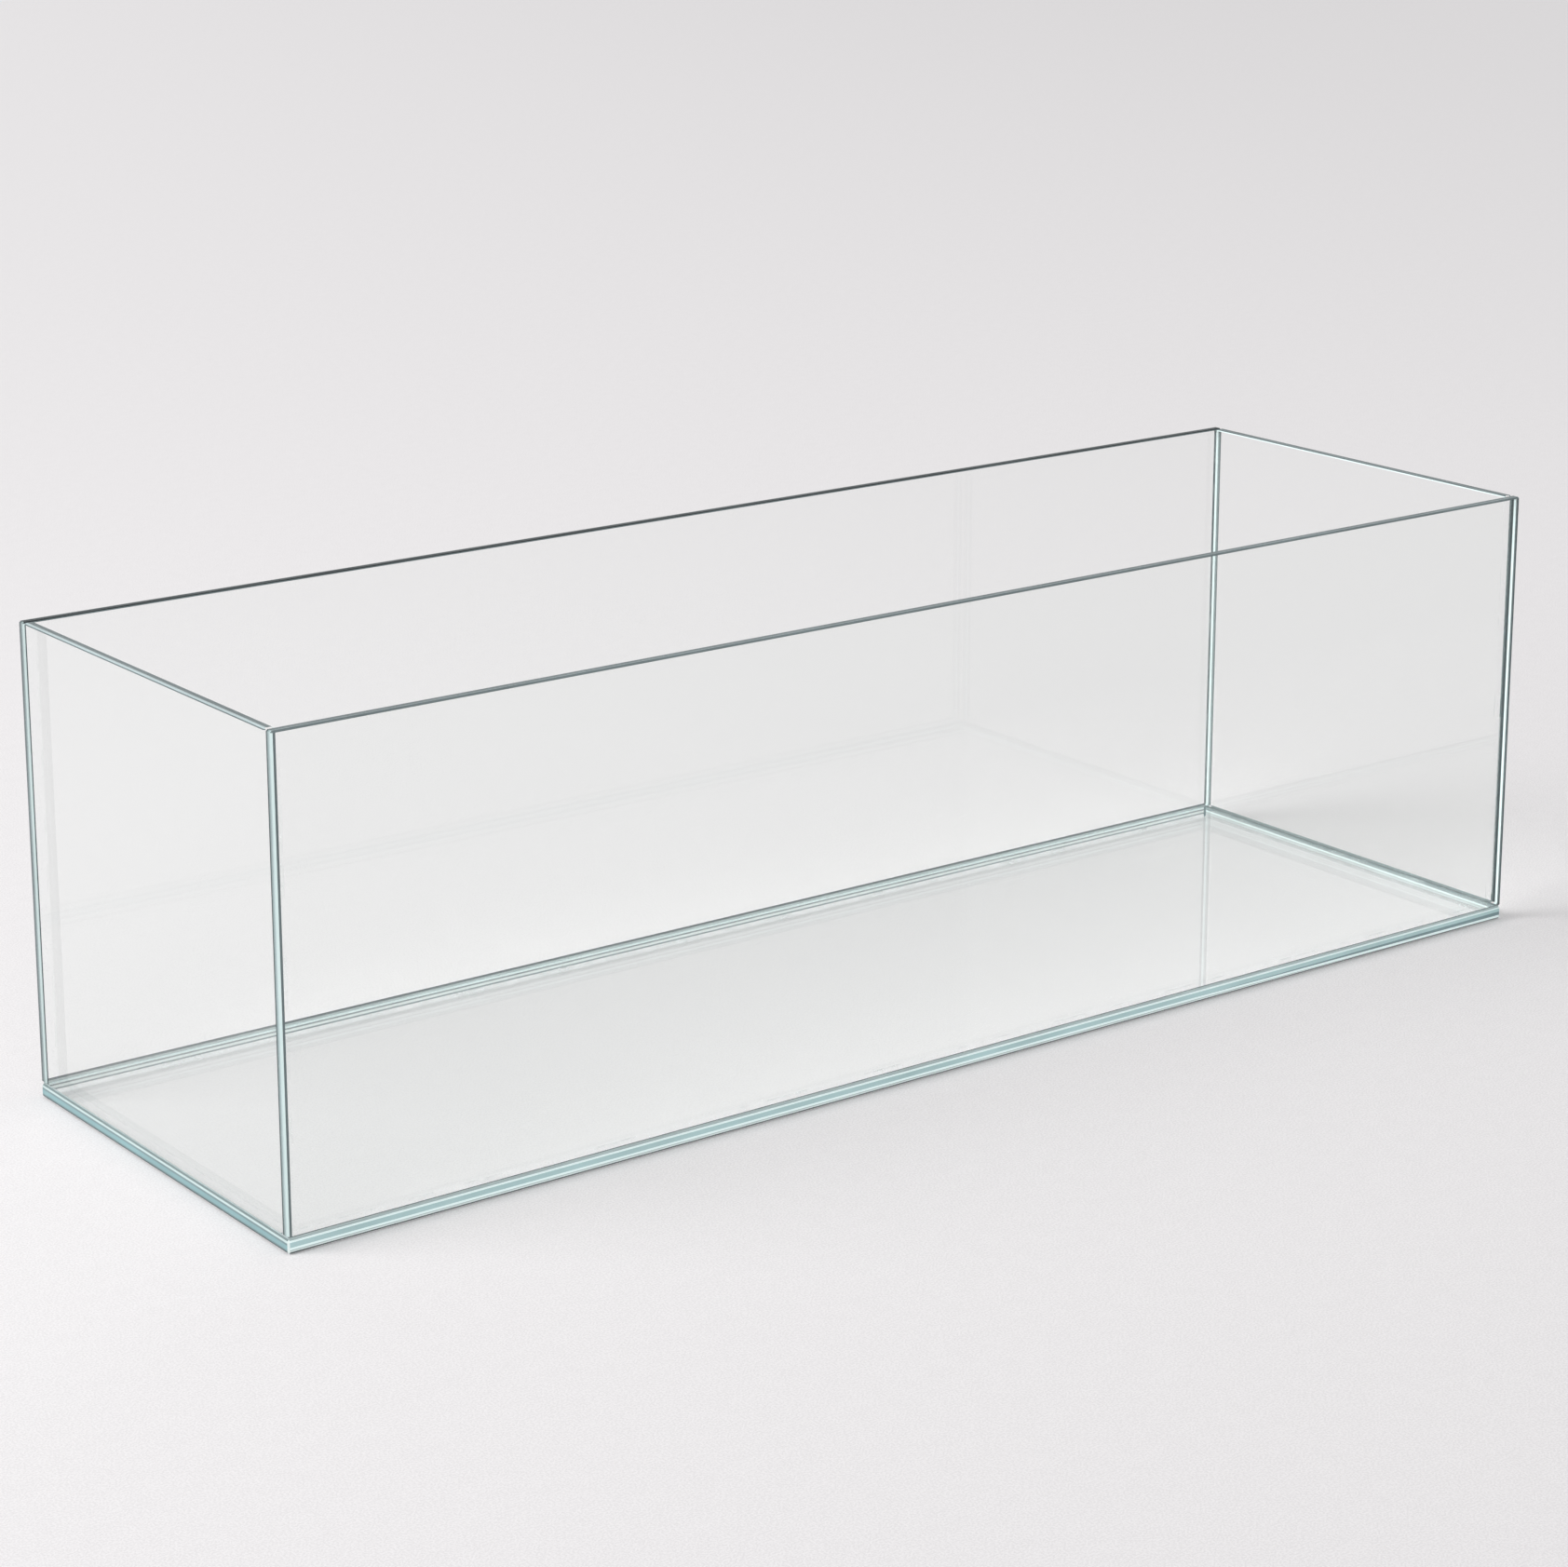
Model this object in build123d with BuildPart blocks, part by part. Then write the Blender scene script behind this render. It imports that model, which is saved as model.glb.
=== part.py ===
from build123d import *
import os

# A rimless aquarium: five panes of low-iron glass bonded with clear silicone.
# X runs along the tank, the front is at -Y, Z is up, and the origin is at the
# centre of the underside. All sizes are in millimetres.

# Driving dimensions
LENGTH = 900.0  # outside, along X
WIDTH = 280.0  # outside, along Y
HEIGHT = 280.0  # from the underside to the rims
WALL = 6.0  # glass thickness of the four walls
BASE = 8.0  # glass thickness of the base
BOND = 0.8  # silicone film between two panes
ARRIS = 1.0  # leg of the 45 degree bevel ground along every glass edge
BEAD = 2.2  # leg of the tooled bead in each inside corner
BEAD_DIP = 0.4  # how far the tooled face dips below the straight line between its edges
SEAM_DROP = 2.0  # the upright seams are trimmed this far below the rims

# Derived sizes
WALL_FOOT = BASE + BOND  # the four walls stand on the film, at this height
WALL_HEIGHT = HEIGHT - WALL_FOOT
HALF_LENGTH = LENGTH / 2
HALF_WIDTH = WIDTH / 2
END_WIDTH = WIDTH - 2 * (WALL + BOND)  # an end wall fits between front and back


def draw_seam_profile():
    """A seam's section, in the sketch that is open.

    Local X runs from the outer face through the pane that butts, and local Y runs
    away from the pane that it butts against. The film lies between the two panes,
    and the bead fills the butting pane's bevel and the corner behind it.
    """
    dip = (WALL + BEAD / 2) - BEAD_DIP / 2**0.5
    with BuildLine() as outline:
        Polyline(
            (WALL + BEAD, 0),
            (ARRIS, 0),
            (ARRIS, BOND),
            (WALL - ARRIS, BOND),
            (WALL, BOND + ARRIS),
            (WALL, BEAD),
        )
        ThreePointArc((WALL, BEAD), (dip, dip - WALL), (WALL + BEAD, 0))
    make_face(outline.edges())


# Glass. Every edge of every pane is bevelled.
with BuildPart() as base_panel:
    with BuildSketch(Plane.XY):
        Rectangle(LENGTH, WIDTH)
    extrude(amount=BASE)
    chamfer(base_panel.edges(), ARRIS)

with BuildPart() as front_panel:
    with BuildSketch(Plane((0, WALL / 2 - HALF_WIDTH, WALL_FOOT))):
        Rectangle(LENGTH, WALL)
    extrude(amount=WALL_HEIGHT)
    chamfer(front_panel.edges(), ARRIS)

with BuildPart() as back_panel:
    mirror(front_panel.part, about=Plane.XZ)

with BuildPart() as left_end_panel:
    with BuildSketch(Plane((WALL / 2 - HALF_LENGTH, 0, WALL_FOOT))):
        Rectangle(WALL, END_WIDTH)
    extrude(amount=WALL_HEIGHT)
    chamfer(left_end_panel.edges(), ARRIS)

with BuildPart() as right_end_panel:
    mirror(left_end_panel.part, about=Plane.YZ)

# Silicone between the base and the walls, mitred where two seams meet.
with BuildPart() as front_base_seam:
    front_top_edge = Plane((0, -HALF_WIDTH, BASE), x_dir=(0, 1, 0), z_dir=(1, 0, 0))
    with BuildSketch(front_top_edge):
        draw_seam_profile()
    extrude(amount=HALF_LENGTH - ARRIS, both=True)
    for side in (-1, 1):
        mitre = Plane((side * HALF_LENGTH, -HALF_WIDTH, BASE), z_dir=(-side, -1, 0))
        split(bisect_by=mitre, keep=Keep.TOP)

with BuildPart() as back_base_seam:
    mirror(front_base_seam.part, about=Plane.XZ)

with BuildPart() as left_base_seam:
    left_top_edge = Plane((-HALF_LENGTH, 0, BASE), x_dir=(1, 0, 0), z_dir=(0, -1, 0))
    with BuildSketch(left_top_edge):
        draw_seam_profile()
    extrude(amount=HALF_WIDTH - ARRIS, both=True)
    for side in (-1, 1):
        mitre = Plane((-HALF_LENGTH, side * HALF_WIDTH, BASE), z_dir=(-1, -side, 0))
        split(bisect_by=mitre, keep=Keep.TOP)

with BuildPart() as right_base_seam:
    mirror(left_base_seam.part, about=Plane.YZ)

# Silicone in the upright corners. Each seam stands on the base seams, and its foot
# fills the bevels where the panes meet at the bottom of the corner.
with BuildPart() as front_left_seam:
    corner = Plane((-HALF_LENGTH, WALL - HALF_WIDTH, BASE))
    with BuildSketch(corner):
        draw_seam_profile()
    extrude(amount=HEIGHT - SEAM_DROP - BASE)
    with BuildSketch(corner):
        with Locations((ARRIS, -ARRIS)):
            Rectangle(WALL - ARRIS, BOND + 2 * ARRIS, align=(Align.MIN, Align.MIN))
    extrude(amount=BOND + ARRIS)
    for neighbour in (front_panel, left_end_panel, front_base_seam, left_base_seam):
        add(neighbour.part, mode=Mode.SUBTRACT)

with BuildPart() as front_right_seam:
    mirror(front_left_seam.part, about=Plane.YZ)

with BuildPart() as back_left_seam:
    mirror(front_left_seam.part, about=Plane.XZ)

with BuildPart() as back_right_seam:
    mirror(back_left_seam.part, about=Plane.YZ)

pieces = {
    "base_panel": base_panel,
    "front_panel": front_panel,
    "back_panel": back_panel,
    "left_end_panel": left_end_panel,
    "right_end_panel": right_end_panel,
    "front_base_seam": front_base_seam,
    "back_base_seam": back_base_seam,
    "left_base_seam": left_base_seam,
    "right_base_seam": right_base_seam,
    "front_left_seam": front_left_seam,
    "front_right_seam": front_right_seam,
    "back_left_seam": back_left_seam,
    "back_right_seam": back_right_seam,
}

os.makedirs("parts", exist_ok=True)
for name, piece in pieces.items():
    piece.part.label = name
    export_step(piece.part, f"parts/{name}.step")
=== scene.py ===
import math

import bmesh
import bpy
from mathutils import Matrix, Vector, noise


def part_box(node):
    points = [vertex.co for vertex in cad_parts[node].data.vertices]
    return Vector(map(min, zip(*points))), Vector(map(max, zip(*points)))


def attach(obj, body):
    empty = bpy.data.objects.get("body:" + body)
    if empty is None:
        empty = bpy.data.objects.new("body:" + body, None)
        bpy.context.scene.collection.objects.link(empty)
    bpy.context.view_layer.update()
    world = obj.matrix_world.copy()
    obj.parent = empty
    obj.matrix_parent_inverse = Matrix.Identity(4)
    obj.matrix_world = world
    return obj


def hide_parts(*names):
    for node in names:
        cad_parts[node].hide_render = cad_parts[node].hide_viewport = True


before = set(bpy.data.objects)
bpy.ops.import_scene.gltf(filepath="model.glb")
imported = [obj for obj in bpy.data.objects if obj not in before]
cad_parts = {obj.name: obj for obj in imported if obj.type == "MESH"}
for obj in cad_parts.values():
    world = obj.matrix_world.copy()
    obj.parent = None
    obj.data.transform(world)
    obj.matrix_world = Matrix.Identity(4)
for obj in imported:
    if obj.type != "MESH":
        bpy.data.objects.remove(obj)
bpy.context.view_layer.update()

# A rimless aquarium of bonded glass. Each pane of the CAD model is replaced by a piece
# of the same size and bevels, whose faces, ground edges, bevels and bonded faces have
# finishes of their own, the edges and bevels painted with highlights and shade. Each
# silicone seam is replaced by a hand-tooled bead of the same section. Lengths are in metres.

scene = bpy.context.scene

# Sizes that the frame gives
BASE_LOW, BASE_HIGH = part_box("base_panel")
FRONT_LOW, FRONT_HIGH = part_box("front_panel")
SEAM_LOW, SEAM_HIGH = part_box("front_base_seam")
SEAM_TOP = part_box("front_left_seam")[1].z
HALF_LENGTH = BASE_HIGH.x
HALF_WIDTH = BASE_HIGH.y
BASE_TOP = BASE_HIGH.z
WALL = FRONT_HIGH.y - FRONT_LOW.y
BOND = FRONT_LOW.z - BASE_TOP  # silicone film between two panes
BEAD = SEAM_HIGH.z - BASE_TOP  # leg of the bead in each inside corner
ARRIS = SEAM_LOW.y - FRONT_LOW.y  # leg of the bevel along every glass edge

# A bead's tooled face
BEAD_DIP = 0.0004  # how far it dips below a straight line
BEAD_STEPS = 8  # facets across it
BEAD_CURVE = 1.6  # power of its height's fall from the wall inwards, under a corner seam
RUN_STEP = 0.006  # length of one ring of a bead
TOOLING = 0.00009  # how far the finger that tooled it wandered
WANDERS = 55  # rate of that wandering along the bead, per metre

# How a face lies, from its normal's share along an axis
SQUARE = 0.99  # at least this: a flat face
TILTED = 0.3  # more than this: a flat face or a bevel


# Node helpers


def new_material(name):
    material = bpy.data.materials.new(name)
    material.use_nodes = True
    nodes = material.node_tree.nodes
    nodes.remove(nodes["Principled BSDF"])
    return material, material.node_tree


def math_node(tree, operation, first, second=None):
    node = tree.nodes.new("ShaderNodeMath")
    node.operation = operation
    for socket, value in zip(node.inputs, (first, second)):
        if value is None:
            continue
        if isinstance(value, (int, float)):
            socket.default_value = value
        else:
            tree.links.new(value, socket)
    return node.outputs[0]


def object_noise(tree, scale, detail, stretch=(1, 1, 1)):
    """Noise fixed to the piece. scale is in features per metre."""
    place = tree.nodes.new("ShaderNodeTexCoord")
    mapping = tree.nodes.new("ShaderNodeMapping")
    mapping.inputs["Scale"].default_value = stretch
    tree.links.new(place.outputs["Object"], mapping.inputs["Vector"])
    texture = tree.nodes.new("ShaderNodeTexNoise")
    texture.inputs["Scale"].default_value = scale
    texture.inputs["Detail"].default_value = detail
    tree.links.new(mapping.outputs[0], texture.inputs["Vector"])
    return texture.outputs["Fac"]


def remap(tree, value, low, high, start=0.3, stop=0.7):
    """Takes the value's range from start to stop to the range from low to high."""
    node = tree.nodes.new("ShaderNodeMapRange")
    node.inputs["From Min"].default_value = start
    node.inputs["From Max"].default_value = stop
    node.inputs["To Min"].default_value = low
    node.inputs["To Max"].default_value = high
    tree.links.new(value, node.inputs["Value"])
    return node.outputs[0]


def bump(tree, height, distance, strength=1.0):
    node = tree.nodes.new("ShaderNodeBump")
    node.inputs["Strength"].default_value = strength
    node.inputs["Distance"].default_value = distance
    tree.links.new(height, node.inputs["Height"])
    return node.outputs[0]


MIX_FIRST, MIX_SECOND, MIX_RESULT = 6, 7, 2  # a Mix node's colour sockets


def tone(tree, dark, light, factor):
    node = tree.nodes.new("ShaderNodeMix")
    node.data_type = "RGBA"
    tree.links.new(factor, node.inputs[0])
    node.inputs[MIX_FIRST].default_value = (*dark, 1)
    node.inputs[MIX_SECOND].default_value = (*light, 1)
    return node.outputs[MIX_RESULT]


def srgb(red, green, blue):
    """Linear values of a display colour out of 255."""
    values = [channel / 255 for channel in (red, green, blue)]
    return [v / 12.92 if v <= 0.04045 else ((v + 0.055) / 1.055) ** 2.4 for v in values]


def mix_shaders(tree, factor, first, second):
    """Surfaces the material with the two shaders, factor being the second's share."""
    mix = tree.nodes.new("ShaderNodeMixShader")
    if isinstance(factor, (int, float)):
        mix.inputs[0].default_value = factor
    else:
        tree.links.new(factor, mix.inputs[0])
    tree.links.new(first, mix.inputs[1])
    tree.links.new(second, mix.inputs[2])
    output = tree.nodes["Material Output"]
    tree.links.new(mix.outputs[0], output.inputs["Surface"])


# Materials


SCHLICK_POWER = 5.0
GLASS_IOR = 1.52
SILICONE_IOR = 1.41


def clear_glass(name, tint, lowest, highest):
    """A polished face of a thin pane: seen straight through, with a gloss whose share
    rises as Schlick's formula has it, from lowest facing the eye to highest edge-on."""
    material, tree = new_material(name)
    clear = tree.nodes.new("ShaderNodeBsdfTransparent")
    clear.inputs["Color"].default_value = (*tint, 1)
    gloss = tree.nodes.new("ShaderNodeBsdfGlossy")
    gloss.inputs["Color"].default_value = (1, 1, 1, 1)
    smudge = object_noise(tree, scale=9, detail=4)
    smear = remap(tree, smudge, low=0.0, high=0.05, start=0.5, stop=0.75)
    tree.links.new(smear, gloss.inputs["Roughness"])
    waves = object_noise(tree, scale=6, detail=1, stretch=(1, 1, 0.35))
    tree.links.new(bump(tree, waves, distance=0.00002), gloss.inputs["Normal"])
    facing = tree.nodes.new("ShaderNodeLayerWeight")
    facing.inputs["Blend"].default_value = 0.5
    steep = math_node(tree, "POWER", facing.outputs["Facing"], SCHLICK_POWER)
    rising = math_node(tree, "MULTIPLY", steep, highest - lowest)
    share = math_node(tree, "ADD", rising, lowest)
    mix_shaders(tree, share, clear.outputs[0], gloss.outputs[0])
    return material


def edge_glass(name, colour, opening, roughness, swing=0.16, shine=0.5):
    """A ground and polished edge, where the light that leaves the pane looks solid. Its colour
    is the glass's own teal, and its lighter and darker copies are painted highlights and painted
    shade.

    opening is the share that is seen through, swing how far the colour drifts along
    the edge, and shine the specular level.
    """
    material, tree = new_material(name)
    solid = tree.nodes.new("ShaderNodeBsdfPrincipled")
    body = object_noise(tree, scale=14, detail=3)
    dark = [channel * (1 - swing) for channel in colour]
    light = [min(channel * (1 + swing), 1.0) for channel in colour]
    tree.links.new(tone(tree, dark, light, remap(tree, body, 0, 1)), solid.inputs["Base Color"])
    grind = object_noise(tree, scale=1500, detail=2)
    low, high = roughness * 0.6, min(roughness * 1.5, 1.0)
    tree.links.new(remap(tree, grind, low, high), solid.inputs["Roughness"])
    tree.links.new(bump(tree, grind, distance=0.00002, strength=0.4), solid.inputs["Normal"])
    solid.inputs["IOR"].default_value = GLASS_IOR
    solid.inputs["Specular IOR Level"].default_value = shine
    clear = tree.nodes.new("ShaderNodeBsdfTransparent")
    clear.inputs["Color"].default_value = (*[c ** 0.25 for c in colour], 1)
    cloud = object_noise(tree, scale=40, detail=2)
    share = remap(tree, cloud, low=opening * 0.8, high=opening * 1.2)
    closed = math_node(tree, "SUBTRACT", 1.0, share)
    mix_shaders(tree, closed, clear.outputs[0], solid.outputs[0])
    return material


def bonded_glass(name, tint):
    """A face wetted by silicone: hardly seen, but for fine bubbles in the bond."""
    material, tree = new_material(name)
    clear = tree.nodes.new("ShaderNodeBsdfTransparent")
    clear.inputs["Color"].default_value = (*tint, 1)
    haze = tree.nodes.new("ShaderNodeBsdfPrincipled")
    haze.inputs["Base Color"].default_value = (*srgb(210, 220, 220), 1)
    haze.inputs["Roughness"].default_value = 0.4
    bubbles = object_noise(tree, scale=700, detail=2)
    share = remap(tree, bubbles, low=0.0, high=0.06, start=0.6, stop=0.8)
    mix_shaders(tree, share, clear.outputs[0], haze.outputs[0])
    return material


def silicone(name, colour, opening, roughness=0.22):
    """Clear cured silicone with a slight skin. opening is the share seen through."""
    material, tree = new_material(name)
    solid = tree.nodes.new("ShaderNodeBsdfPrincipled")
    cloud = object_noise(tree, scale=60, detail=3)
    dark = [channel * 0.86 for channel in colour]
    light = [min(channel * 1.14, 1.0) for channel in colour]
    tree.links.new(tone(tree, dark, light, remap(tree, cloud, 0, 1)), solid.inputs["Base Color"])
    skin = object_noise(tree, scale=420, detail=3)
    tree.links.new(remap(tree, skin, roughness * 0.7, roughness * 1.4), solid.inputs["Roughness"])
    tree.links.new(bump(tree, skin, distance=0.00005, strength=0.5), solid.inputs["Normal"])
    solid.inputs["IOR"].default_value = SILICONE_IOR
    clear = tree.nodes.new("ShaderNodeBsdfTransparent")
    clear.inputs["Color"].default_value = (0.998, 0.999, 0.999, 1)
    share = remap(tree, cloud, low=1 - opening * 1.15, high=1 - opening * 0.85)
    mix_shaders(tree, share, clear.outputs[0], solid.outputs[0])
    return material


def painted_falloff(tree, colour, falloff):
    """The colour, shifted in tone along one direction across the floor as painted light fall-off.
    """
    direction, start, stop, first, last = falloff
    place = tree.nodes.new("ShaderNodeTexCoord")
    away = tree.nodes.new("ShaderNodeVectorMath")
    away.operation = "DOT_PRODUCT"
    tree.links.new(place.outputs["Object"], away.inputs[0])
    away.inputs[1].default_value = direction
    depth = tree.nodes.new("ShaderNodeMapRange")
    depth.interpolation_type = "SMOOTHSTEP"
    depth.inputs["From Min"].default_value = start
    depth.inputs["From Max"].default_value = stop
    depth.inputs["To Min"].default_value = first
    depth.inputs["To Max"].default_value = last
    tree.links.new(away.outputs["Value"], depth.inputs["Value"])
    shade = tree.nodes.new("ShaderNodeVectorMath")
    shade.operation = "SCALE"
    tree.links.new(colour, shade.inputs[0])
    tree.links.new(depth.outputs[0], shade.inputs["Scale"])
    return shade.outputs[0]


def paper(name):
    """Matt pale backdrop paper with a fine tooth, and painted light fall-off that shifts its tone
    slowly.
    """
    material, tree = new_material(name)
    solid = tree.nodes.new("ShaderNodeBsdfPrincipled")
    solid.inputs["Roughness"].default_value = 0.95
    solid.inputs["Specular IOR Level"].default_value = 0.0
    tooth = object_noise(tree, scale=900, detail=2)
    blotch = object_noise(tree, scale=90, detail=2)
    both = math_node(tree, "ADD", tooth, math_node(tree, "MULTIPLY", blotch, 0.1))
    grain = remap(tree, both, low=0.0, high=1.0, start=0.45, stop=0.65)
    colour = tone(tree, PAPER_DARK, PAPER_LIGHT, grain)
    for falloff in PAPER_PAINTED_FALLOFFS:
        colour = painted_falloff(tree, colour, falloff)
    tree.links.new(colour, solid.inputs["Base Color"])
    tree.links.new(bump(tree, tooth, distance=0.0002, strength=0.3), solid.inputs["Normal"])
    output = tree.nodes["Material Output"]
    tree.links.new(solid.outputs[0], output.inputs["Surface"])
    return material


PAPER_LIGHT = (0.985, 0.965, 0.975)
PAPER_DARK = (0.885, 0.865, 0.875)
# Painted light fall-off on the paper, one darker away from the lamps on the left, one darker
# on the near side: a direction, then where the shift starts and stops along it, and the
# tone at each end
PAPER_PAINTED_FALLOFFS = (
    ((0.9, -0.4, 0.0), -3.2, 3.2, 1.02, 0.83),
    ((0.0, 1.0, 0.0), -1.0, 0.8, 0.9, 1.0),
)

finishes = {
    "clear_wall": clear_glass("glass_clear_wall", (0.992, 0.997, 0.994), 0.035, 0.9),
    "clear_base": clear_glass("glass_clear_base", (0.994, 0.997, 0.996), 0.035, 0.75),
    "bonded": bonded_glass("glass_bonded", (0.997, 0.999, 0.999)),
    # The edge glass's own teal, with darker copies of it in painted shade for some sides and ends
    "teal": edge_glass("glass_edge_teal", srgb(168, 199, 201), 0.08, 0.18, 0.12),
    "teal_painted_side_shade": edge_glass("glass_edge_painted_side_shade", srgb(130, 168, 172), 0.08, 0.18),
    "teal_painted_shade": edge_glass("glass_edge_painted_shade", srgb(112, 138, 142), 0.08, 0.18),
    "teal_grey": edge_glass("glass_edge_grey", srgb(170, 190, 191), 0.1, 0.2),
    "end_painted_half_shade": edge_glass("glass_end_painted_half_shade", srgb(140, 158, 159), 0.08, 0.2),
    "end_painted_shade": edge_glass("glass_end_painted_shade", srgb(118, 135, 136), 0.08, 0.2),
    # Painted light on the edges: a faint, mostly see-through pale band and a pale band
    "painted_faint_light": edge_glass("glass_edge_painted_faint_light", srgb(222, 232, 232), 0.85, 0.3, 0.05, 0.1),
    "pale": edge_glass("glass_edge_pale", srgb(230, 244, 242), 0.3, 0.2, 0.05),
    # Painted highlights on the bevels, the second a dimmer copy for a side in shade
    "bright": edge_glass("glass_bevel_painted_highlight", srgb(236, 255, 254), 0.1, 0.15, 0.02),
    "painted_dim_highlight": edge_glass("glass_bevel_painted_dim_highlight", srgb(198, 217, 216), 0.1, 0.15, 0.02),
    # The rims: a lit copy and copies in painted shade, the darkest for the back rim
    "rim_painted_lit": edge_glass("glass_rim_painted_lit", srgb(178, 194, 196), 0.1, 0.3, 0.12, 0.15),
    "rim_painted_shade": edge_glass("glass_rim_painted_shade", srgb(106, 118, 120), 0.05, 0.3, 0.16, 0.1),
    "rim_painted_deep_shade": edge_glass("glass_rim_painted_deep_shade", srgb(50, 57, 59), 0.02, 0.3, 0.3, 0.05),
    "rim_painted_half_shade": edge_glass("glass_rim_painted_half_shade", srgb(138, 150, 152), 0.05, 0.3, 0.16, 0.1),
    # Lines of painted shade, the darkest also a painted contact shadow along the base's foot
    "painted_soft_shade_line": edge_glass("glass_bevel_painted_soft_shade", srgb(166, 178, 178), 0.1, 0.2),
    "painted_shade_line": edge_glass("glass_bevel_painted_shade", srgb(94, 106, 108), 0.04, 0.25, 0.16, 0.3),
    "painted_deep_shade_line": edge_glass("glass_bevel_painted_deep_shade", srgb(56, 70, 72), 0.03, 0.25, 0.16, 0.2),
    "bead": silicone("silicone_bead", srgb(222, 230, 230), 0.985),
    "bead_film": silicone("silicone_film", srgb(166, 182, 182), 0.15),
    # A dark line of painted shade at the outer end of some silicone films
    "bead_painted_shade_line": silicone("silicone_painted_shade_line", srgb(84, 98, 100), 0.08),
}


# Glass panes


def bevelled_block(low, high, cuts):
    """The block between two corners with every edge bevelled, cut along some planes."""
    mesh = bmesh.new()
    bmesh.ops.create_cube(mesh, size=1.0)
    size = high - low
    centre = (high + low) / 2
    for vertex in mesh.verts:
        vertex.co = Vector(a * b + c for a, b, c in zip(vertex.co, size, centre))
    bmesh.ops.bevel(
        mesh,
        geom=list(mesh.edges),
        offset=ARRIS,
        offset_type="OFFSET",
        segments=1,
        profile=0.5,
        affect="EDGES",
    )
    for point, normal in cuts:
        everything = list(mesh.verts) + list(mesh.edges) + list(mesh.faces)
        bmesh.ops.bisect_plane(mesh, geom=everything, plane_co=point, plane_no=normal)
    mesh.normal_update()
    return mesh


def add_piece(name, mesh, choose, node):
    """Makes a piece of the mesh, with the finish that choose names for each face, and
    puts it in the node's place."""
    used = []
    for face in mesh.faces:
        key = choose(face.calc_center_median(), face.normal)
        if key not in used:
            used.append(key)
        face.material_index = used.index(key)
    data = bpy.data.meshes.new(name)
    mesh.to_mesh(data)
    mesh.free()
    for key in used:
        data.materials.append(finishes[key])
    piece = bpy.data.objects.new(name, data)
    scene.collection.objects.link(piece)
    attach(piece, "root")
    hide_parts(node)


# Bands of tone up the base's four edges, from the top down: painted highlights and painted
# shade over the glass's own teal, a different set on each side, the lowest dark band along
# the front and left a painted contact shadow. For each band, its lowest height up to the
# distance TURN along the tank, the height that it drifts to by the right end, and its finish
TURN = 0.18
BASE_BANDS = {
    "front": (
        (0.0074, 0.0076, "teal_grey"),
        (0.0064, 0.0069, "bright"),
        (0.0036, 0.0049, "teal"),
        (0.0036, 0.0026, "teal_painted_shade"),
        (0.0024, 0.0010, "bright"),
        (0.0019, 0.0012, "teal_grey"),
        (0.0012, 0.0012, "pale"),
        (0, 0, "painted_deep_shade_line"),
    ),
    "left": (
        (0.0072, 0.0072, "end_painted_shade"),
        (0.0060, 0.0060, "painted_dim_highlight"),
        (0.0048, 0.0048, "teal_painted_shade"),
        (0.0024, 0.0024, "teal_painted_side_shade"),
        (0.0015, 0.0015, "teal_painted_shade"),
        (0, 0, "painted_deep_shade_line"),
    ),
    "back": (
        (0.0070, 0.0070, "teal_grey"),
        (0.0057, 0.0057, "bright"),
        (0.0047, 0.0047, "end_painted_shade"),
        (0.0032, 0.0032, "pale"),
        (0.0022, 0.0022, "end_painted_shade"),
        (0, 0, "painted_faint_light"),
    ),
    "right": (
        (0.0050, 0.0050, "end_painted_half_shade"),
        (0.0042, 0.0042, "bright"),
        (0.0034, 0.0034, "pale"),
        (0.0029, 0.0029, "painted_soft_shade_line"),
        (0.0022, 0.0022, "pale"),
        (0.0017, 0.0017, "painted_soft_shade_line"),
        (0, 0, "painted_faint_light"),
    ),
}


def band_cuts():
    """The planes that part the bands."""
    cuts = [((TURN, 0, 0), (1, 0, 0))]
    for bands in BASE_BANDS.values():
        for near, far, _ in bands:
            slope = (far - near) / (HALF_LENGTH - TURN)
            for normal in {(0, 0, 1), (-slope, 0, 1)}:
                if near > 0:
                    cuts.append(((TURN, 0, near), normal))
    return cuts


def choose_base(centre, normal):
    """The finish of the base's face here: clear, that of a corner's bevel or a band's."""
    if abs(normal.z) > SQUARE:
        return "clear_base"
    # Corner bevels: painted light on the one at the front left, painted shade on the others
    if abs(normal.x) > TILTED and abs(normal.y) > TILTED:
        return "pale" if normal.x < 0 and normal.y < 0 else "teal_painted_shade"
    if abs(normal.y) > TILTED:
        side = "front" if normal.y < 0 else "back"
    else:
        side = "left" if normal.x < 0 else "right"
    drift = max(0.0, (centre.x - TURN) / (HALF_LENGTH - TURN))
    for near, far, key in BASE_BANDS[side]:
        if centre.z >= near + (far - near) * drift:
            return key


FLAT = WALL - 2 * ARRIS  # width of the flat of a wall's edge, between its bevels
STRIPS = 4  # strips of tone across that flat, for painted highlights and painted shade
RIM_SPLIT = FRONT_HIGH.z - ARRIS / 2  # a rim's bevels change between painted tones at this height
LINE = 0.0015  # width of the strip in an outer face beside the glass's end, where some walls have a line of painted shade


def edge(outer, flat, inner, strip="clear_wall"):
    """The finishes of one of a wall's edges: its bevels, the strips of its flat from
    the outside in, and the strip of the outer face beside it. A bevel's pair is for
    its half beside the face and its half beside the flat."""
    outer = outer if isinstance(outer, tuple) else (outer, outer)
    inner = inner if isinstance(inner, tuple) else (inner, inner)
    flat = flat if isinstance(flat, tuple) else (flat,) * STRIPS
    return {"outer": outer, "flat": flat, "inner": inner, "strip": strip}


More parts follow.
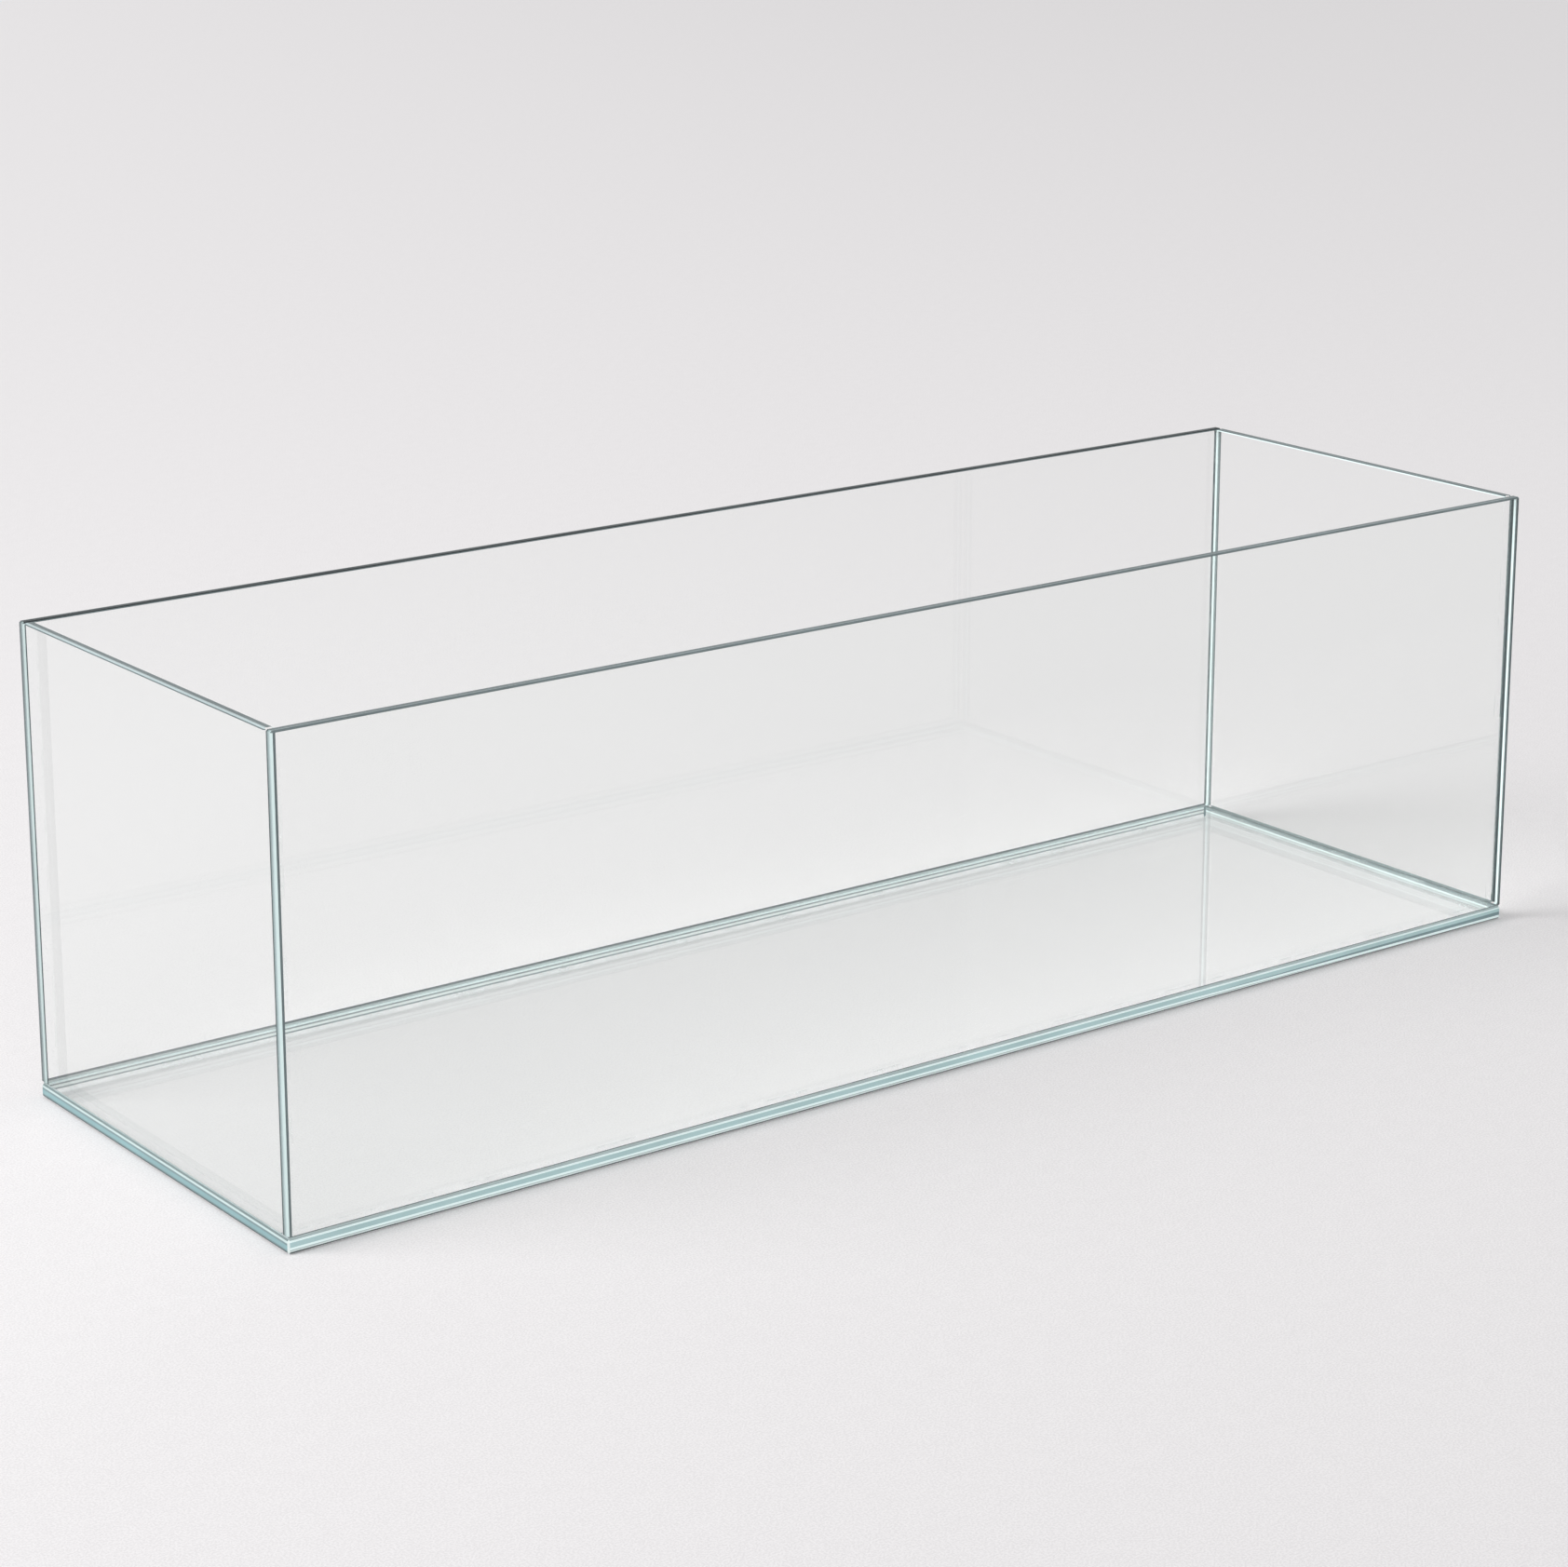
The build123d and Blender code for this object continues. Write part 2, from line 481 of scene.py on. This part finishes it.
def choose_wall(outward, low, high, rim, foot, left, right):
    """A chooser for the wall between two corners whose outside faces along outward.
    The other values are the finishes of its four edges."""
    out = Vector(outward)
    along = Vector((abs(out.y), abs(out.x), 0))
    middle = ((low + high) / 2).dot(out)
    first = low.dot(along) + ARRIS + LINE
    last = high.dot(along) - ARRIS - LINE

    def choose(centre, normal):
        outside = normal.dot(out)
        reach = centre.dot(along)
        if abs(outside) > SQUARE:
            if outside < 0 or first < reach < last:
                return "clear_wall"
            return left["strip"] if reach < first else right["strip"]
        lengthways = normal.dot(along)
        at_end = abs(lengthways) > TILTED and abs(outside) < TILTED
        if abs(normal.z) > TILTED and not at_end:
            parts = rim if normal.z > 0 else foot
        else:
            parts = left if lengthways < 0 else right
        if abs(outside) > TILTED:
            beside_flat = normal.z < TILTED or centre.z > RIM_SPLIT
            return parts["outer" if outside > 0 else "inner"][beside_flat]
        depth = FLAT / 2 - (centre.dot(out) - middle)
        return parts["flat"][min(STRIPS - 1, max(0, int(depth / FLAT * STRIPS)))]

    return choose


def add_wall(name, node, outward, rim, foot, left, right):
    """Replaces a wall's node with a pane that has these finishes along its edges."""
    low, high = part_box(node)
    out = Vector(outward)
    along = Vector((abs(out.y), abs(out.x), 0))
    middle = ((low + high) / 2).dot(out)
    strips = [step - STRIPS / 2 for step in range(1, STRIPS)]
    cuts = [(out * (middle + strip * FLAT / STRIPS), out) for strip in strips]
    cuts.append(((0, 0, RIM_SPLIT), (0, 0, 1)))
    cuts.append((along * (low.dot(along) + ARRIS + LINE), along))
    cuts.append((along * (high.dot(along) - ARRIS - LINE), along))
    mesh = bevelled_block(low, high, cuts)
    choose = choose_wall(outward, low, high, rim, foot, left, right)
    add_piece(name, mesh, choose, node)


# Rims: a lit copy and copies in painted shade, with painted highlights on some inner bevels
front_rim = edge("rim_painted_shade", ("rim_painted_half_shade", "rim_painted_shade", "rim_painted_shade", "rim_painted_shade"), "bright")
left_rim = edge(
    ("rim_painted_shade", "rim_painted_lit"), ("rim_painted_lit", "rim_painted_shade", "rim_painted_shade", "rim_painted_shade"), "bright"
)
back_rim = edge(
    "rim_painted_shade", ("rim_painted_shade", "rim_painted_deep_shade", "rim_painted_deep_shade", "rim_painted_deep_shade"), ("rim_painted_shade", "rim_painted_deep_shade")
)
right_rim = edge("rim_painted_shade", "rim_painted_shade", ("bright", "rim_painted_shade"))

# Feet: outer bevels in painted shade; the bonded flats are clear
long_foot = edge("painted_shade_line", "bonded", "bonded")
left_foot = edge("end_painted_half_shade", "bonded", "bonded")
right_foot = edge("end_painted_shade", "bonded", "bonded")

# Wall ends: painted highlights and lines of painted shade, some also in the face strip beside the
# end
front_left_end = edge(
    "painted_dim_highlight", ("teal_grey", "end_painted_half_shade", "end_painted_shade", "painted_deep_shade_line"), "painted_deep_shade_line", "painted_shade_line"
)
front_right_end = edge("painted_shade_line", ("painted_deep_shade_line", "painted_shade_line", "bright", "bright"), "painted_deep_shade_line")
back_left_end = edge("painted_shade_line", ("painted_shade_line", "painted_shade_line", "end_painted_shade", "end_painted_half_shade"), "painted_dim_highlight")
back_right_end = edge("painted_shade_line", ("bright", "bright", "end_painted_half_shade", "end_painted_shade"), "painted_deep_shade_line")
butted = edge("clear_wall", "bonded", "bonded")
left_back_end = edge("painted_deep_shade_line", "bonded", "bonded", "painted_deep_shade_line")
right_front_end = edge("painted_deep_shade_line", ("end_painted_shade", "bonded", "bonded", "bonded"), "bonded")

base_mesh = bevelled_block(BASE_LOW, BASE_HIGH, band_cuts())
add_piece("base_glass", base_mesh, choose_base, "base_panel")
front_edges = (front_rim, long_foot, front_left_end, front_right_end)
back_edges = (back_rim, long_foot, back_left_end, back_right_end)
left_edges = (left_rim, left_foot, butted, left_back_end)
right_edges = (right_rim, right_foot, right_front_end, butted)
add_wall("front_glass", "front_panel", (0, -1, 0), *front_edges)
add_wall("back_glass", "back_panel", (0, 1, 0), *back_edges)
add_wall("left_end_glass", "left_end_panel", (-1, 0, 0), *left_edges)
add_wall("right_end_glass", "right_end_panel", (1, 0, 0), *right_edges)


# Silicone seams


def seam_section(film_end):
    """(distance in from the outer face, height off the pane below) round a seam.

    The film comes first, its outer end with this finish, then the bead that fills the
    corner behind it. Each point comes with the finish of the side that starts there
    and whether tooling moves it.
    """
    points = [
        (WALL + BEAD, 0, "bonded", False),
        (ARRIS, 0, film_end, False),
        (ARRIS, BOND, "bonded", False),
        (WALL - ARRIS, BOND, "bonded", False),
        (WALL, BOND + ARRIS, "bead", False),
        (WALL, BEAD, "bead", False),
    ]
    for step in range(1, BEAD_STEPS):
        across = step / BEAD_STEPS
        # A parabola, square to the straight line between the bead's two legs
        dip = BEAD_DIP * 4 * across * (1 - across) / 2**0.5
        points.append((WALL + BEAD * across - dip, BEAD * (1 - across) - dip, "bead", True))
    return points


def add_seam(name, node, place, length, section, seed):
    """Sweeps the section through place(t, distance, height), t running from 0 to 1."""
    rings = max(2, round(length / RUN_STEP))
    mesh = bmesh.new()
    grid = []
    for ring in range(rings + 1):
        t = ring / rings
        wander = noise.noise(Vector((t * length * WANDERS, seed, 0.5))) * TOOLING
        row = []
        for distance, height, finish, tooled in section:
            shift = wander if tooled else 0.0
            row.append(mesh.verts.new(place(t, distance + shift, height + shift)))
        grid.append(row)
    count = len(section)
    finish_of = {}
    for first, second in zip(grid, grid[1:]):
        for i in range(count):
            j = (i + 1) % count
            face = mesh.faces.new((first[i], first[j], second[j], second[i]))
            finish_of[face] = section[i][2]
    for row in (grid[0], grid[-1]):
        face = mesh.faces.new(row)
        finish_of[face] = "bonded"
    bmesh.ops.recalc_face_normals(mesh, faces=list(mesh.faces))
    in_order = iter([finish_of[face] for face in mesh.faces])
    add_piece(name, mesh, lambda centre, normal: next(in_order), node)


def base_seam_place(side_axis, sign):
    """A seam on the base along one wall, mitred at both ends."""
    half_run = HALF_LENGTH if side_axis == "y" else HALF_WIDTH
    outer_face = HALF_WIDTH if side_axis == "y" else HALF_LENGTH

    def place(t, distance, height):
        run = (2 * t - 1) * (half_run - distance)
        across = sign * (outer_face - distance)
        z = BASE_TOP + height
        return (run, across, z) if side_axis == "y" else (across, run, z)

    return place


def bead_height(distance):
    """How high a base seam stands, this far in from the tank's outer face."""
    if distance < WALL:
        return BOND
    return BEAD * max(0.0, 1 - (distance - WALL) / BEAD) ** BEAD_CURVE


def corner_seam_place(side_x, side_y):
    """An upright seam, whose foot stands on the two base seams."""

    def place(t, distance, height):
        x = side_x * (HALF_LENGTH - distance)
        y = side_y * (HALF_WIDTH - WALL - height)
        foot = BASE_TOP + max(bead_height(WALL + height), bead_height(distance))
        return (x, y, foot + t * (SEAM_TOP - foot))

    return place


# Each seam's side, where that side lies, and the finish of its film's outer end, on the right a
# line of painted shade
BASE_SEAMS = (
    ("front", "y", -1, "bead_film"),
    ("back", "y", 1, "bead_film"),
    ("left", "x", -1, "bead_film"),
    ("right", "x", 1, "bead_painted_shade_line"),
)
CORNER_SEAMS = (
    ("front_left", -1, -1),
    ("front_right", 1, -1),
    ("back_left", -1, 1),
    ("back_right", 1, 1),
)
CORNER_SEED = 10

for seed, (side, axis, sign, film_end) in enumerate(BASE_SEAMS):
    run_length = 2 * (HALF_LENGTH if axis == "y" else HALF_WIDTH)
    place_seam = base_seam_place(axis, sign)
    section = seam_section(film_end)
    add_seam(side + "_base_bead", side + "_base_seam", place_seam, run_length, section, seed)
for seed, (side, side_x, side_y) in enumerate(CORNER_SEAMS, CORNER_SEED):
    place_seam = corner_seam_place(side_x, side_y)
    run_length = SEAM_TOP - BASE_TOP
    # The film ends of the corner seams are lines of painted shade
    section = seam_section("bead_painted_shade_line")
    add_seam(side + "_bead", side + "_seam", place_seam, run_length, section, seed)


# Floor, light and camera


def add_floor():
    mesh = bmesh.new()
    bmesh.ops.create_grid(mesh, x_segments=4, y_segments=4, size=FLOOR_REACH)
    data = bpy.data.meshes.new("floor")
    mesh.to_mesh(data)
    mesh.free()
    data.materials.append(paper("backdrop_paper"))
    floor = bpy.data.objects.new("floor", data)
    floor.location.z = -FLOOR_GAP
    scene.collection.objects.link(floor)


def add_world():
    """An even dome, a little brighter where it is seen than where it lights."""
    world = bpy.data.worlds.new("studio")
    world.use_nodes = True
    scene.world = world
    tree = world.node_tree
    sky = tree.nodes["Background"]
    sky.inputs["Color"].default_value = (*DOME_COLOUR, 1)
    path = tree.nodes.new("ShaderNodeLightPath")
    seen = math_node(
        tree, "MAXIMUM", path.outputs["Is Camera Ray"], path.outputs["Is Glossy Ray"]
    )
    tree.links.new(remap(tree, seen, DOME_LIGHT, DOME_SEEN, 0, 1), sky.inputs["Strength"])


def add_sun():
    light = bpy.data.lights.new("sun", "SUN")
    light.energy = SUN_POWER
    light.angle = math.radians(SUN_SPREAD)
    sun = bpy.data.objects.new("sun", light)
    sun.rotation_euler = (-Vector(SUN_FROM)).to_track_quat("-Z", "Y").to_euler()
    scene.collection.objects.link(sun)


def add_light(name, place, target, size, watts):
    light = bpy.data.lights.new(name, "AREA")
    light.shape = "RECTANGLE"
    light.size, light.size_y = size
    light.energy = watts
    lamp = bpy.data.objects.new(name, light)
    lamp.location = place
    aim = Vector(target) - Vector(place)
    lamp.rotation_euler = aim.to_track_quat("-Z", "Y").to_euler()
    lamp.visible_camera = False
    scene.collection.objects.link(lamp)


def add_camera():
    data = bpy.data.cameras.new("camera")
    data.sensor_width = SENSOR
    data.lens = FOCAL_LENGTH
    data.shift_y = CAMERA_SHIFT
    data.clip_end = VIEW_REACH
    camera = bpy.data.objects.new("camera", data)
    scene.collection.objects.link(camera)
    azimuth = math.radians(CAMERA_AZIMUTH)
    elevation = math.radians(CAMERA_ELEVATION)
    back = Vector(
        (
            math.sin(azimuth) * math.cos(elevation),
            -math.cos(azimuth) * math.cos(elevation),
            math.sin(elevation),
        )
    )
    turn = (-back).to_track_quat("-Z", "Y")
    right = turn @ Vector((1, 0, 0))
    up = turn @ Vector((0, 1, 0))
    centre = Vector((0, 0, BASE_LOW.z + (FRONT_HIGH.z - BASE_LOW.z) / 2))
    across, lift, away = CAMERA_OFFSET
    camera.location = centre - right * across - up * lift + back * away
    camera.rotation_mode = "QUATERNION"
    camera.rotation_quaternion = turn
    scene.camera = camera


FLOOR_REACH = 400.0
FLOOR_GAP = 0.00015  # keeps the floor clear of the base's underside
DOME_COLOUR = (1.0, 1.0, 1.0)
DOME_LIGHT = 0.59
DOME_SEEN = 0.82
SUN_FROM = (-0.7, 0.3, 0.6)
SUN_POWER = 1.5
SUN_SPREAD = 30.0
SOFTBOX = {
    "place": (-1.9, -0.2, 1.5),
    "target": (-0.5, -0.2, 0.0),
    "size": (1.2, 1.2),
    "watts": 6.0,
}
FILL = {
    "place": (-5.2, -8.4, 2.4),
    "target": (0.0, 0.0, 0.1),
    "size": (6.0, 4.0),
    "watts": 300.0,
}
SENSOR = 36.0
VIEW_REACH = 2000.0  # takes in the far edge of the floor
FOCAL_LENGTH = 89.1
CAMERA_SHIFT = -0.1
CAMERA_AZIMUTH = -36.91
CAMERA_ELEVATION = 14.36
CAMERA_OFFSET = (0.0209, -0.0929, 2.3316)  # right, up, and back from the tank's centre

add_floor()
add_world()
add_sun()
add_light("softbox", **SOFTBOX)
add_light("fill", **FILL)
add_camera()

scene.view_settings.view_transform = "Standard"
scene.cycles.blur_glossy = 0.0
scene.cycles.max_bounces = 16
scene.cycles.diffuse_bounces = 4
scene.cycles.glossy_bounces = 8
scene.cycles.transmission_bounces = 8
scene.cycles.transparent_max_bounces = 64
